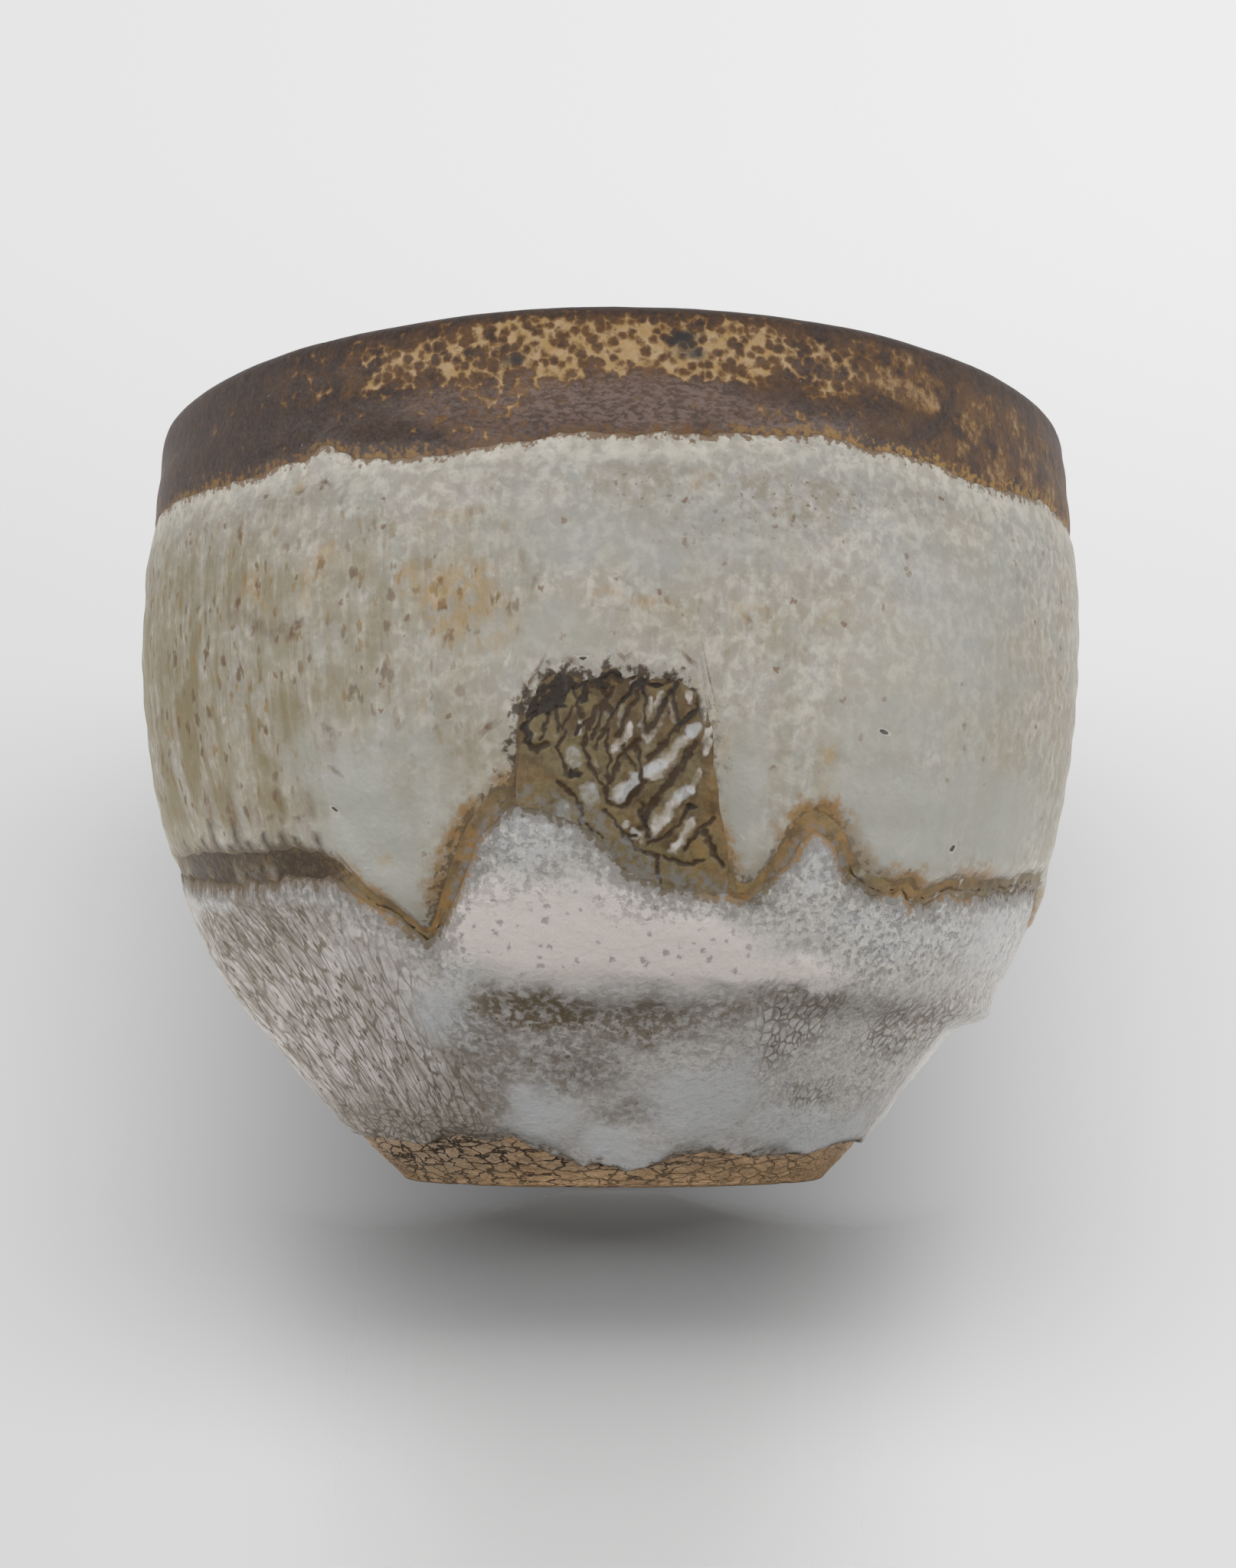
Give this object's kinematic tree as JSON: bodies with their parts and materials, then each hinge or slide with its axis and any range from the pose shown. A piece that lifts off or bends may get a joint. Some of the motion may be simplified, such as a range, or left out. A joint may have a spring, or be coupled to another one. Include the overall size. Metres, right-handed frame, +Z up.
{
  "type": "guinomi sake cup",
  "caption": "Hand-thrown stoneware sake cup: round bowl on a trimmed cone and low foot, iron-glazed lip, white glaze coats with runs, bare clay foot.",
  "frame": {"origin": "centre of the foot's resting plane, on the cup's axis", "axes": "+Z up through the open mouth, -Y the front with the crawled window, +X to the right of that front"},
  "size_m": [0.07, 0.07, 0.0541],
  "materials": {
    "clay": "matte",
    "iron_glaze": "gloss",
    "white_glaze_upper": "gloss",
    "white_glaze_lower": "satin",
    "thin_glaze": "gloss",
    "lining_glaze": "gloss"
  },
  "bodies": {
    "root": {"stoneware_body": "clay", "foot_ring": "clay", "iron_rim_glaze": "iron_glaze", "upper_glaze_coat": "white_glaze_upper", "crawled_window_glaze": "thin_glaze", "seam_glaze_band": "thin_glaze", "lower_glaze_coat": "white_glaze_lower", "inner_glaze_lining": "lining_glaze"}
  },
  "joints": []
}
